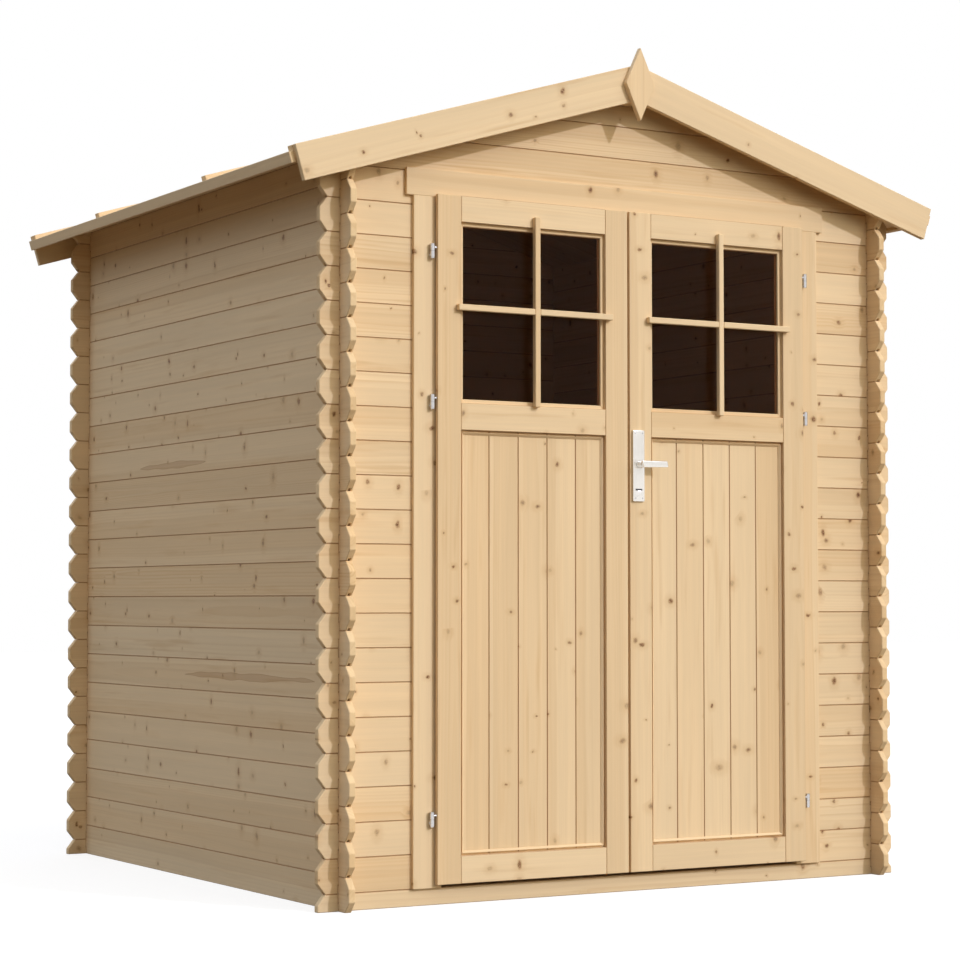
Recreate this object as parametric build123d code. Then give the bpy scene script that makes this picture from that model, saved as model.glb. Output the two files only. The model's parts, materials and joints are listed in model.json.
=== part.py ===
import os
from math import cos, radians, sin, tan

from build123d import *

# Walls of tongued logs that cross at the corners, the front and back half a log above the sides
width = 1768.0
depth = 1750.0
log_height = 90.0
log_thickness = 19.0
side_log_count = 22
log_overhang = 59.0
end_bevel_height = 27.5
end_bevel_depth = 22.0
lap_share = 0.25
lap_clearance = 0.3
course_gap = 0.3
seat_gap = 0.2
tongue_width = 6.0
tongue_height = 5.0
tongue_setback = 12.0
groove_depth = 6.0
groove_clearance = 0.3

# Roof of boards, with battens on top, strips along the eaves and barge boards on both gables
roof_pitch = 16.8
roof_seat_drop = 7.0
roof_thickness = 18.0
eave_overhang = 159.0
batten_width = 27.0
batten_thickness = 17.0
inner_batten_offset = 386.0
eave_strip_thickness = 14.0
eave_strip_height = 30.0
eave_strip_rise = 2.5
barge_thickness = 16.0
barge_depth = 96.0
barge_end_setback = 1.5
ridge_beam_width = 44.0
ridge_beam_depth = 65.0
finial_height = 204.0
finial_width = 96.0
finial_thickness = 16.0
finial_rise = 45.0

# Doorway: jambs and head line the opening, casing boards cover its edges outside
casing_width = 85.0
casing_thickness = 11.0
head_casing_height = 72.0
head_casing_ear = 22.0
head_casing_lap = 6.0
jamb_thickness = 15.0
jamb_reveal = 11.0
head_drop = 4.0

# Door leaves with a lip that laps the casing
door_pair_width = 1214.0
door_clearance = 5.0
leaf_gap = 6.0
leaf_side_lap = 22.0
leaf_top_lap = 6.0
leaf_sill_gap = 9.0
leaf_thickness = 40.0
lip_thickness = 11.0
stile_width = 73.0
top_rail_height = 70.0
window_height = 483.0
lock_rail_height = 72.0
bottom_rail_height = 73.0
panel_recess = 12.0
panel_thickness = 16.0
panel_board_count = 5
board_groove_width = 4.0
board_groove_depth = 2.0
glass_recess = 17.0
glass_thickness = 4.0

# Barrel hinges, three to a leaf
hinge_pin_offset = 12.0
hinge_pin_standoff = 9.0
barrel_radius = 6.5
barrel_height = 40.0
barrel_gap = 0.3
pin_radius = 3.5
pin_clearance = 0.05
pin_length = 14.0
stem_radius = 3.5
hinge_top_inset = 153.0
hinge_bottom_inset = 171.0

# Lever handle on long plates, on both faces of the right leaf
plate_width = 38.0
plate_height = 197.0
plate_thickness = 7.0
plate_corner_radius = 3.0
plate_inset = 7.0
plate_rail_lap = 18.0
spindle_radius = 4.0
spindle_clearance = 0.5
lever_rise = 4.0
neck_radius = 9.0
neck_clearance = 0.3
neck_length = 31.0
grip_length = 80.0
grip_slant = 6.0
grip_height = 19.0
grip_tip_height = 17.5
grip_thickness = 10.0
grip_edge_radius = 3.0
key_slot_width = 22.0
key_slot_height = 5.0
key_slot_depth = 3.0
key_slot_drop = 66.0

# Floor boards on bearers
bearer_count = 5
bearer_width = 58.0
bearer_height = 24.0
bearer_inset = 60.0
floor_thickness = 16.0
floor_gap = 5.0

overrun = 20.0

# Levels and planes that the pieces share
pitch = radians(roof_pitch)
wall_top = side_log_count * log_height
half_log = log_height / 2
front_top = wall_top - half_log
lap_depth = log_height * lap_share
lap_width = log_thickness + 2 * lap_clearance
front_face = -depth / 2
side_face = width / 2
log_end_x = width / 2 + log_overhang
log_end_y = depth / 2 + log_overhang
ridge_under = wall_top - roof_seat_drop + side_face * tan(pitch)
slope_length = (side_face + eave_overhang) / cos(pitch)

door_half = door_pair_width / 2
casing_inner = door_half - leaf_side_lap
casing_outer = casing_inner + casing_width
jamb_outer = casing_inner + jamb_thickness
casing_front = front_face - casing_thickness
head_casing_top = front_top + head_casing_lap
head_casing_bottom = head_casing_top - head_casing_height
head_bottom = head_casing_bottom - head_drop

leaf_front = casing_front - door_clearance - lip_thickness
lip_back = leaf_front + lip_thickness
leaf_back = leaf_front + leaf_thickness
leaf_inner = leaf_gap / 2
leaf_bottom = half_log + leaf_sill_gap
leaf_top = head_casing_bottom + leaf_top_lap
body_outer = casing_inner - door_clearance
body_top = head_bottom - door_clearance
rail_start = leaf_inner + stile_width
rail_end = door_half - stile_width
window_top = leaf_top - top_rail_height
window_bottom = window_top - window_height
panel_top = window_bottom - lock_rail_height
panel_bottom = leaf_bottom + bottom_rail_height

hinge_x = door_half + hinge_pin_offset
hinge_y = casing_front - hinge_pin_standoff
hinge_levels = (leaf_bottom + hinge_bottom_inset, window_bottom, leaf_top - hinge_top_inset)

plate_x = leaf_inner + plate_inset + plate_width / 2
plate_top = panel_top + plate_rail_lap
plate_middle = plate_top - plate_height / 2
lever_z = plate_middle + lever_rise


def block(x_from, x_to, y_from, y_to, z_from, z_to):
    centre = Pos((x_from + x_to) / 2, (y_from + y_to) / 2, (z_from + z_to) / 2)
    return centre * Box(x_to - x_from, y_to - y_from, z_to - z_from)


def prism_along_y(points, y_from, y_to):
    outline = Polyline([(x, y_from, z) for x, z in points], close=True)
    return extrude(make_face(outline), amount=y_to - y_from, dir=(0, 1, 0))


def prism_along_x(points, x_from, x_to):
    outline = Polyline([(x_from, y, z) for y, z in points], close=True)
    return extrude(make_face(outline), amount=x_to - x_from, dir=(1, 0, 0))


def mirrored(pieces):
    return [mirror(piece, about=Plane.YZ) for piece in pieces]


def save(name, pieces):
    solids = [solid for piece in pieces for solid in piece.solids()]
    shape = solids[0] if len(solids) == 1 else Compound(children=solids)
    export_step(shape, f"parts/{name}.step")


# One long edge of a log, from end to end, with its end bevels and the laps for the crossing logs
def log_edge(start, end, level, inward, laps, bevelled_start, bevelled_end):
    points = [(start, level)]
    if bevelled_start:
        points = [(start, level + inward * end_bevel_height), (start + end_bevel_depth, level)]
    for place in laps:
        near = place - lap_width / 2
        far = place + lap_width / 2
        lap_floor = level + inward * lap_depth
        points += [(near, level), (near, lap_floor), (far, lap_floor), (far, level)]
    if bevelled_end:
        points += [(end - end_bevel_depth, level), (end, level + inward * end_bevel_height)]
    else:
        points += [(end, level)]
    return points


def log_outline(start, end, bottom, top, laps, bevelled_end=True):
    low = log_edge(start, end, bottom, 1, laps, True, bevelled_end)
    high = log_edge(start, end, top - course_gap, -1, laps, True, bevelled_end)
    return low + high[::-1]


def ground_log_outline(start, end, top, laps):
    high = log_edge(start, end, top - course_gap, -1, laps, True, True)
    return [(start, 0), (end, 0)] + high[::-1]


# Point on the right-hand slope: distance down the slope from the ridge, and height off its underside
def slope_point(along, off):
    x = along * cos(pitch) + off * sin(pitch)
    z = ridge_under - along * sin(pitch) + off * cos(pitch)
    return (x, z)


def ridge_point(off):
    return (seat_gap, ridge_under + off / cos(pitch) - seat_gap * tan(pitch))


def slope_prism(end, bottom, top, y_from, y_to):
    points = [ridge_point(bottom), slope_point(end, bottom), slope_point(end, top), ridge_point(top)]
    return prism_along_y(points, y_from, y_to)


# Everything above the underside of the roof, for trimming the logs under it
def roof_space():
    reach = log_end_x + overrun
    eave_z = ridge_under - reach * tan(pitch) - seat_gap
    peak_z = ridge_under - seat_gap
    cover_z = ridge_under + roof_thickness + overrun
    points = [(-reach, eave_z), (0, peak_z), (reach, eave_z), (reach, cover_z), (-reach, cover_z)]
    return prism_along_y(points, -log_end_y - overrun, log_end_y + overrun)


def ridge_beam_prism(growth, y_end):
    half = ridge_beam_width / 2 + growth
    bottom = ridge_under - ridge_beam_depth - growth
    shoulder = ridge_under - half * tan(pitch) - seat_gap
    peak = ridge_under - seat_gap
    points = [(-half, bottom), (half, bottom), (half, shoulder), (0, peak), (-half, shoulder)]
    return prism_along_y(points, -y_end, y_end)


# Bar along a log, in the middle of its thickness
def bar_along_x(start, end, centre, half, bottom, top):
    return block(start, end, centre - half, centre + half, bottom, top)


def bar_along_y(start, end, centre, half, bottom, top):
    return block(centre - half, centre + half, start, end, bottom, top)


# The groove under a log runs out through both its ends
def grooved(log, bar, start, end, centre, bottom):
    half = tongue_width / 2 + groove_clearance
    return log - bar(start - overrun, end + overrun, centre, half, bottom - overrun, bottom + groove_depth)


# The tongue on a log stands between the laps and stops short of the end bevels
def tongue_spans(start, end, laps, bevelled_end=True):
    stops = [start + end_bevel_depth + tongue_setback]
    for place in laps:
        stops += [place - lap_width / 2, place + lap_width / 2]
    stops.append(end - end_bevel_depth - tongue_setback if bevelled_end else end)
    return list(zip(stops[0::2], stops[1::2]))


def tongued(log, bar, spans, centre, top):
    seat = top - course_gap
    for near, far in spans:
        log = log + bar(near, far, centre, tongue_width / 2, seat - tongue_height, seat + tongue_height)
    return log


corner_x = side_face - log_thickness / 2
corner_y = depth / 2 - log_thickness / 2
above_roof = roof_space()


# The lowest side log has no groove, and the topmost no tongue
def side_wall():
    laps = (-corner_y, corner_y)
    spans = tongue_spans(-log_end_y, log_end_y, laps)
    logs = []
    for course in range(side_log_count):
        bottom = course * log_height
        top = bottom + log_height
        outline = log_outline(-log_end_y, log_end_y, bottom, top, laps)
        log = prism_along_x(outline, side_face - log_thickness, side_face)
        if course > 0:
            log = grooved(log, bar_along_y, -log_end_y, log_end_y, corner_x, bottom)
        if course < side_log_count - 1:
            log = tongued(log, bar_along_y, spans, corner_x, top)
        else:
            log = log - above_roof
        logs.append(log)
    return logs


def ground_log(y_from):
    outline = ground_log_outline(-log_end_x, log_end_x, half_log, (-corner_x, corner_x))
    return prism_along_y(outline, y_from, y_from + log_thickness)


def back_wall(y_from):
    laps = (-corner_x, corner_x)
    spans = tongue_spans(-log_end_x, log_end_x, laps)
    centre = y_from + log_thickness / 2
    logs = [tongued(ground_log(y_from), bar_along_x, spans, centre, half_log)]
    for course in range(side_log_count - 1):
        bottom = half_log + course * log_height
        top = bottom + log_height
        outline = log_outline(-log_end_x, log_end_x, bottom, top, laps)
        log = prism_along_y(outline, y_from, y_from + log_thickness)
        log = grooved(log, bar_along_x, -log_end_x, log_end_x, centre, bottom)
        logs.append(tongued(log, bar_along_x, spans, centre, top))
    return logs


# The logs beside the doorway run from the corner to the jamb
def front_wall_left():
    laps = (-corner_x,)
    log_stop = -jamb_outer - seat_gap
    spans = tongue_spans(-log_end_x, log_stop, laps, False)
    centre = front_face + log_thickness / 2
    logs = []
    for course in range(side_log_count - 1):
        bottom = half_log + course * log_height
        top = bottom + log_height
        outline = log_outline(-log_end_x, log_stop, bottom, top, laps, False)
        log = prism_along_y(outline, front_face, front_face + log_thickness)
        log = grooved(log, bar_along_x, -log_end_x, log_stop, centre, bottom)
        logs.append(tongued(log, bar_along_x, spans, centre, top))
    return logs


# The gable logs are trimmed to the slopes, and the topmost one houses the ridge beam
def gable(y_from):
    beam_housing = ridge_beam_prism(lap_clearance, log_end_y + overrun)
    log_count = int((ridge_under - front_top) / log_height)
    centre = y_from + log_thickness / 2
    logs = []
    for course in range(log_count):
        bottom = front_top + course * log_height
        top = bottom + log_height if course < log_count - 1 else ridge_under + course_gap
        if course == 0:
            points = log_outline(-log_end_x, log_end_x, bottom, top, (-corner_x, corner_x))
        else:
            high = top - course_gap
            points = [(-log_end_x, bottom), (log_end_x, bottom), (log_end_x, high), (-log_end_x, high)]
        log = prism_along_y(points, y_from, y_from + log_thickness)
        log = grooved(log, bar_along_x, -log_end_x, log_end_x, centre, bottom)
        if course < log_count - 1:
            log = tongued(log, bar_along_x, [(-log_end_x, log_end_x)], centre, top)
        logs.append(log - above_roof - beam_housing)
    return logs


def roof_battens():
    top = roof_thickness + batten_thickness
    edge_batten = log_end_y - batten_width / 2
    places = (-edge_batten, -inner_batten_offset, inner_batten_offset, edge_batten)
    half = batten_width / 2
    return [slope_prism(slope_length, roof_thickness + seat_gap, top, y - half, y + half) for y in places]


def eave_strip():
    near = slope_length + seat_gap
    far = slope_length + eave_strip_thickness
    high = roof_thickness + eave_strip_rise
    low = high - eave_strip_height
    points = [(near, low), (far, low), (far, high), (near, high)]
    return prism_along_y([slope_point(*point) for point in points], -log_end_y, log_end_y)


def barge_board(y_from):
    top = roof_thickness + batten_thickness
    end = slope_length - barge_end_setback
    return slope_prism(end, top - barge_depth, top, y_from, y_from + barge_thickness)


def finial():
    top = ridge_under + (roof_thickness + batten_thickness) / cos(pitch) + finial_rise
    middle = top - finial_height / 2
    half = finial_width / 2
    points = [(0, top - finial_height), (half, middle), (0, top), (-half, middle)]
    back = -log_end_y - seat_gap - barge_thickness - seat_gap
    return prism_along_y(points, back - finial_thickness, back)


def jamb():
    y_to = front_face + log_thickness + jamb_reveal
    return block(casing_inner, jamb_outer, front_face, y_to, half_log, head_bottom - seat_gap)


def casing():
    y_to = front_face - seat_gap
    return block(casing_inner, casing_outer, casing_front, y_to, half_log, head_casing_bottom - seat_gap)


# A board of the door frame: its lip laps the casing, and its body stands clear inside the jambs
def leaf_board(x_from, x_to, z_from, z_to):
    lip = block(x_from, x_to, leaf_front, lip_back, z_from, z_to)
    body = block(x_from, min(x_to, body_outer), lip_back, leaf_back, z_from, min(z_to, body_top))
    return lip + body


def leaf_stiles():
    meeting = leaf_board(leaf_inner, rail_start, leaf_bottom, leaf_top)
    hinged = leaf_board(rail_end, door_half, leaf_bottom, leaf_top)
    return [meeting, hinged]


def leaf_rails():
    x_from = rail_start + seat_gap
    x_to = rail_end - seat_gap
    levels = ((leaf_bottom, panel_bottom), (panel_top, window_bottom), (window_top, leaf_top))
    return [leaf_board(x_from, x_to, low, high) for low, high in levels]


def leaf_panel():
    x_from = rail_start + seat_gap
    x_to = rail_end - seat_gap
    front = leaf_front + panel_recess
    panel = block(x_from, x_to, front, front + panel_thickness, panel_bottom + seat_gap, panel_top - seat_gap)
    board_width = (x_to - x_from) / panel_board_count
    for joint in range(1, panel_board_count):
        x = x_from + joint * board_width
        mouth = board_groove_width / 2
        groove = Polyline(
            [(x - mouth, front, 0), (x + mouth, front, 0), (x, front + board_groove_depth, 0)], close=True
        )
        panel = panel - extrude(make_face(groove), amount=leaf_top, dir=(0, 0, 1))
    return panel


def leaf_glass():
    front = leaf_front + glass_recess
    x_from = rail_start + seat_gap
    x_to = rail_end - seat_gap
    return block(x_from, x_to, front, front + glass_thickness, window_bottom + seat_gap, window_top - seat_gap)


def barrel(z_from, z_to, radius):
    return Pos(hinge_x, hinge_y, (z_from + z_to) / 2) * Cylinder(radius, z_to - z_from)


# Lower halves carry the pins and stand on stems from the casing
def frame_hinges():
    pieces = []
    for level in hinge_levels:
        bottom = level - barrel_height / 2
        knuckle = barrel(bottom, level, barrel_radius) + barrel(level, level + pin_length, pin_radius)
        reach = casing_front - seat_gap - hinge_y
        centre = Pos(hinge_x, hinge_y + reach / 2, (bottom + level) / 2)
        stem = centre * Rot(X=90) * Cylinder(stem_radius, reach)
        pieces.append(knuckle + stem)
    return pieces


# Upper halves turn on the pins and reach the edge of the leaf
def leaf_hinges():
    pieces = []
    for level in hinge_levels:
        bottom = level + barrel_gap
        top = level + barrel_height / 2
        reach = hinge_x - door_half - seat_gap
        centre = Pos(hinge_x - reach / 2, hinge_y, (bottom + top) / 2)
        stem = centre * Rot(Y=90) * Cylinder(stem_radius, reach)
        knuckle = barrel(bottom, top, barrel_radius) + stem
        pin_top = level + pin_length + barrel_gap
        pieces.append(knuckle - barrel(bottom - overrun, pin_top, pin_radius + pin_clearance))
    return pieces


def handle_bore(radius, y_from, y_to):
    return Pos(plate_x, (y_from + y_to) / 2, lever_z) * Rot(X=90) * Cylinder(radius, y_to - y_from)


def handle_plates():
    pieces = []
    outer_y = (leaf_front - seat_gap - plate_thickness, leaf_front - seat_gap)
    inner_y = (leaf_back + seat_gap, leaf_back + seat_gap + plate_thickness)
    half = plate_width / 2
    for y_from, y_to in (outer_y, inner_y):
        plate = block(plate_x - half, plate_x + half, y_from, y_to, plate_top - plate_height, plate_top)
        plate = fillet(plate.edges().filter_by(Axis.Y), plate_corner_radius)
        bore = handle_bore(neck_radius + neck_clearance, y_from - overrun, y_to + overrun)
        pieces.append(plate - bore)
    slot_z = plate_top - plate_height / 2 - key_slot_drop
    slot_front = leaf_front - seat_gap - plate_thickness
    slot = block(
        plate_x - key_slot_width / 2, plate_x + key_slot_width / 2, slot_front - overrun,
        slot_front + key_slot_depth, slot_z - key_slot_height / 2, slot_z + key_slot_height / 2
    )
    pieces[0] = pieces[0] - slot
    return pieces


# Grip and neck on one face of the leaf; outward is -1 for the outer face and 1 for the inner one
def lever_half(face, outward):
    neck_start = face + outward * seat_gap
    neck_end = face + outward * (plate_thickness + neck_length)
    grip_back = neck_end - outward * grip_thickness
    grip_middle = neck_end - outward * grip_thickness / 2
    neck = handle_bore(neck_radius, min(neck_start, grip_middle), max(neck_start, grip_middle))
    half = grip_height / 2
    tip_half = grip_tip_height / 2
    start = plate_x - neck_radius
    end = plate_x + grip_length
    points = [
        (start + grip_slant, lever_z - half), (plate_x + neck_radius, lever_z - half),
        (end, lever_z + half - grip_tip_height), (end - tip_half / 2, lever_z + half), (start, lever_z + half)
    ]
    grip = prism_along_y(points, min(grip_back, neck_end), max(grip_back, neck_end))
    grip = fillet(grip.edges().filter_by(Axis.Y), grip_edge_radius)
    return neck + grip


def door_lever():
    spindle = handle_bore(spindle_radius, leaf_front - seat_gap * 2, leaf_back + seat_gap * 2)
    return lever_half(leaf_front, -1) + spindle + lever_half(leaf_back, 1)


def floor_bearers():
    first = -side_face + log_thickness + bearer_inset + bearer_width / 2
    step = -2 * first / (bearer_count - 1)
    y_end = depth / 2 - log_thickness - seat_gap
    half = bearer_width / 2
    places = [first + index * step for index in range(bearer_count)]
    return [block(x - half, x + half, -y_end, y_end, 0, bearer_height) for x in places]


def floor_slab():
    x_end = side_face - log_thickness - floor_gap
    y_end = depth / 2 - log_thickness - floor_gap
    bottom = bearer_height + seat_gap
    return block(-x_end, x_end, -y_end, y_end, bottom, bearer_height + floor_thickness)


os.makedirs("parts", exist_ok=True)

right_wall = side_wall()
save("right_wall", right_wall)
save("left_wall", mirrored(right_wall))
save("back_wall", back_wall(depth / 2 - log_thickness))
save("back_gable", gable(depth / 2 - log_thickness))
front_left = front_wall_left()
save("front_wall_left", front_left)
save("front_wall_right", mirrored(front_left))
save("front_sill", [ground_log(front_face)])
save("front_gable", gable(front_face))
save("ridge_beam", [ridge_beam_prism(0, log_end_y)])

roof = [slope_prism(slope_length, 0, roof_thickness, -log_end_y, log_end_y)]
save("right_roof", roof)
save("left_roof", mirrored(roof))
battens = roof_battens()
save("right_roof_battens", battens)
save("left_roof_battens", mirrored(battens))
strip = [eave_strip()]
save("right_eave_strip", strip)
save("left_eave_strip", mirrored(strip))
front_barge = [barge_board(-log_end_y - seat_gap - barge_thickness)]
save("front_right_barge", front_barge)
save("front_left_barge", mirrored(front_barge))
back_barge = [barge_board(log_end_y + seat_gap)]
save("back_right_barge", back_barge)
save("back_left_barge", mirrored(back_barge))
save("finial", [finial()])

right_jamb = [jamb()]
save("right_jamb", right_jamb)
save("left_jamb", mirrored(right_jamb))
head_y = front_face + log_thickness + jamb_reveal
save("door_head", [block(-jamb_outer, jamb_outer, front_face, head_y, head_bottom, front_top - seat_gap)])
right_casing = [casing()]
save("right_casing", right_casing)
save("left_casing", mirrored(right_casing))
head_end = casing_outer + head_casing_ear
head_back = front_face - seat_gap
save("head_casing", [block(-head_end, head_end, casing_front, head_back, head_casing_bottom, head_casing_top)])

stiles = leaf_stiles()
spindle_bore = handle_bore(spindle_radius + spindle_clearance, leaf_front - overrun, leaf_back + overrun)
save("right_door_stiles", [stiles[0] - spindle_bore, stiles[1]])
save("left_door_stiles", mirrored(stiles))
rails = leaf_rails()
save("right_door_rails", rails)
save("left_door_rails", mirrored(rails))
panel = [leaf_panel()]
save("right_door_panel", panel)
save("left_door_panel", mirrored(panel))
glass = [leaf_glass()]
save("right_door_glass", glass)
save("left_door_glass", mirrored(glass))
door_knuckles = leaf_hinges()
save("right_door_hinges", door_knuckles)
save("left_door_hinges", mirrored(door_knuckles))
frame_knuckles = frame_hinges()
save("right_frame_hinges", frame_knuckles)
save("left_frame_hinges", mirrored(frame_knuckles))
save("handle_plates", handle_plates())
save("door_lever", [door_lever()])

save("floor_bearers", floor_bearers())
save("floor", [floor_slab()])
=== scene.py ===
import json
import math
import random

import bmesh
import bpy
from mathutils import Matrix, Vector

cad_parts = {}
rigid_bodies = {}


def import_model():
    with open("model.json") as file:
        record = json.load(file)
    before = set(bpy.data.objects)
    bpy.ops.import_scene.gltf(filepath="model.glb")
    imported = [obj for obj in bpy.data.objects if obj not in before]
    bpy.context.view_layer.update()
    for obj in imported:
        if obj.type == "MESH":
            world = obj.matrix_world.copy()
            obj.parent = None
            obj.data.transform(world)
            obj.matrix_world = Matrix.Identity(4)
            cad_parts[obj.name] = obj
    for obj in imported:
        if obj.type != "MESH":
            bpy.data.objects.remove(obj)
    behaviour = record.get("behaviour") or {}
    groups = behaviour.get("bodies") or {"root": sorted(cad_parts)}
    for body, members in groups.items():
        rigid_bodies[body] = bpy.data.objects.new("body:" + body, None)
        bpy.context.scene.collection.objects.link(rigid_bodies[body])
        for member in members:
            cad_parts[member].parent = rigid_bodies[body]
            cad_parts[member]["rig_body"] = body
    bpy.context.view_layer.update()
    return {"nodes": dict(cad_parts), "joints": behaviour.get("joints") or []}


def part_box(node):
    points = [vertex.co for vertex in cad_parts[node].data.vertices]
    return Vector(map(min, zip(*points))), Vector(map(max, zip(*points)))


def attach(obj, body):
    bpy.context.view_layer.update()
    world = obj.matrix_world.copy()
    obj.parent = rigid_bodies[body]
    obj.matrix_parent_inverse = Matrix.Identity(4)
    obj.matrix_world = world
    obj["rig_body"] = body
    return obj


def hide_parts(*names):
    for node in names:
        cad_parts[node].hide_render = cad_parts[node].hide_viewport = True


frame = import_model()
print("frame loaded:", len(frame["nodes"]), "nodes")

scene = bpy.context.scene
scene.view_settings.view_transform = "Standard"
chance = random.Random(20)

axisX = Vector((1, 0, 0))
axisY = Vector((0, 1, 0))
axisZ = Vector((0, 0, 1))


# node helpers
def wire(tree, value, socket):
    if isinstance(value, bpy.types.NodeSocket):
        tree.links.new(value, socket)
    elif value is not None:
        socket.default_value = value


def maths(tree, operation, first, second=None, clamp=False):
    node = tree.nodes.new("ShaderNodeMath")
    node.operation = operation
    node.use_clamp = clamp
    wire(tree, first, node.inputs[0])
    wire(tree, second, node.inputs[1])
    return node.outputs["Value"]


def times(tree, first, second):
    return maths(tree, "MULTIPLY", first, second)


def plus(tree, first, second):
    return maths(tree, "ADD", first, second)


def minus(tree, first, second):
    return maths(tree, "SUBTRACT", first, second)


def remap(tree, value, low, high, newLow=0.0, newHigh=1.0, smooth=True):
    node = tree.nodes.new("ShaderNodeMapRange")
    node.interpolation_type = "SMOOTHSTEP" if smooth else "LINEAR"
    names = ("Value", "From Min", "From Max", "To Min", "To Max")
    for name, item in zip(names, (value, low, high, newLow, newHigh)):
        wire(tree, item, node.inputs[name])
    return node.outputs["Result"]


# a share from 0 to 1 turned into a value between two others
def between(tree, share, low, high):
    return remap(tree, share, 0.0, 1.0, low, high, False)


def mixColor(tree, factor, first, second, mode="MIX"):
    node = tree.nodes.new("ShaderNodeMix")
    node.data_type = "RGBA"
    node.blend_type = mode
    wire(tree, factor, node.inputs[0])
    wire(tree, first, node.inputs[6])
    wire(tree, second, node.inputs[7])
    return node.outputs[2]


def vectors(tree, operation, first, second):
    node = tree.nodes.new("ShaderNodeVectorMath")
    node.operation = operation
    wire(tree, first, node.inputs[0])
    wire(tree, second, node.inputs[1])
    return node.outputs["Vector"]


def stretch(tree, vector, scales):
    return vectors(tree, "MULTIPLY", vector, scales)


def noise(tree, vector, scales, detail=2.0, output="Fac"):
    node = tree.nodes.new("ShaderNodeTexNoise")
    wire(tree, stretch(tree, vector, scales), node.inputs["Vector"])
    node.inputs["Scale"].default_value = 1.0
    node.inputs["Detail"].default_value = detail
    return node.outputs[output]


def hypotenuse(tree, first, second):
    squares = plus(tree, times(tree, first, first), times(tree, second, second))
    return maths(tree, "SQRT", squares)


def split(tree, vector):
    node = tree.nodes.new("ShaderNodeSeparateXYZ")
    wire(tree, vector, node.inputs[0])
    return node.outputs[0], node.outputs[1], node.outputs[2]


def attribute(tree, name, output):
    node = tree.nodes.new("ShaderNodeAttribute")
    node.attribute_name = name
    return node.outputs[output]


# sockets and places of the shader groups that several materials share
def addSockets(tree, way, *sockets):
    for name, kind in sockets:
        tree.interface.new_socket(name=name, in_out=way, socket_type="NodeSocket" + kind)


def placeGroup(tree, group, values):
    node = tree.nodes.new("ShaderNodeGroup")
    node.node_tree = group
    for name, value in values.items():
        node.inputs[name].default_value = value
    return node.outputs


def newMaterial(name):
    material = bpy.data.materials.new(name)
    material.use_nodes = True
    tree = material.node_tree
    return material, tree, tree.nodes["Principled BSDF"]


# bare spruce: rings, fibres, knots with halos, and painted shade in the joints between boards. Lengths in metres
# along, across and into the board
spruce = {
    "fibre": (9.0, 520.0, 520.0),
    "cloud": (1.5, 15.0, 15.0),
    "streak": (0.8, 80.0, 80.0),
    "smear": (3.0, 42.0, 42.0),
    "knotSpacing": 0.092,     # one place for a knot in about this square
    "knotRadius": 0.0095,     # the largest
    "knotBend": 0.011,
    "bendNoise": (52.0, 52.0, 12.0),
    "speckle": (260.0, 420.0, 60.0),
    "knotEye": (0.085, 0.032, 0.011, 1.0),
    "knotDepth": (0.3, 1.0),  # of the palest and the darkest knots
    "eyeDepth": 0.85,
    "haloDepth": 0.3,
    "haloPush": 0.004,        # of the rings round a knot
    "ringWidth": 0.0068,
    "ringShares": (0.65, 1.6),
    "wander": (0.9, 6.0, 6.0),
    "wanderPush": 0.024,
    "ripple": (8.0, 60.0, 60.0),
    "ripplePush": 0.0018,
    "taper": 0.004,           # drift of the rings along the board
    "heartSpread": 0.14,      # of the tree's heart across the board
    "heartBehind": (0.014, 0.075),
    "heartTint": 0.2,
    "figure": (0.15, 1.7),    # of plain boards and strongly marked ones
    "shade": (0.97, 1.025),
    "hue": (0.4985, 0.5012),
    "saturation": (1.04, 0.97),
    "endTint": (1.0, 0.97, 0.90, 1.0),
    "pithSwell": (0.006, 0.0125),
    "pithSway": 0.014,
    "pithDepth": 0.72,
    "pithLeast": 0.001,       # half length below which a board has none
    # painted shade in the joints: its colour and how strongly it is laid on
    "seamShadeTint": (0.35, 0.155, 0.055, 1.0),
    "seamShadeDepth": 0.66,
}


# knots run straight through the board, so they only follow along and across
def knotMarks(tree, grain, knotShare, knotty):
    flat = stretch(tree, grain, (1.0, 1.0, 0.0))
    bend = vectors(tree, "SUBTRACT", noise(tree, grain, spruce["bendNoise"], 2.0, "Color"), (0.5, 0.5, 0.5))
    place = vectors(tree, "ADD", flat, stretch(tree, bend, (spruce["knotBend"], spruce["knotBend"], 0.0)))
    cells = tree.nodes.new("ShaderNodeTexVoronoi")
    cells.voronoi_dimensions = "2D"
    cells.inputs["Scale"].default_value = 1.0 / spruce["knotSpacing"]
    wire(tree, place, cells.inputs["Vector"])
    size, turn, depth = split(tree, cells.outputs["Color"])
    runs, lifts = split(tree, vectors(tree, "SUBTRACT", place, cells.outputs["Position"]))[:2]
    reach = hypotenuse(tree, runs, times(tree, lifts, between(tree, turn, 0.6, 1.25)))
    rarity = minus(tree, 1.0, times(tree, knotShare, between(tree, knotty, 0.4, 1.25)))
    present = maths(tree, "GREATER_THAN", size, rarity)
    radius = maths(tree, "POWER", remap(tree, size, rarity, 1.0, 0.42, 1.0, False), 1.7)
    nearness = maths(tree, "DIVIDE", reach, times(tree, radius, spruce["knotRadius"]))
    speckle = noise(tree, grain, spruce["speckle"])
    core = times(tree, remap(tree, nearness, 1.3, 0.35), present)
    core = times(tree, core, remap(tree, speckle, 0.3, 0.55, 0.55, 1.0))
    eye = times(tree, remap(tree, nearness, 0.95, 0.2), remap(tree, speckle, 0.35, 0.6, 0.3, 1.0))
    halo = times(tree, remap(tree, nearness, 3.6, 0.9), present)
    return core, eye, halo, remap(tree, depth, 0.0, 0.75, *spruce["knotDepth"], False)


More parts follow.
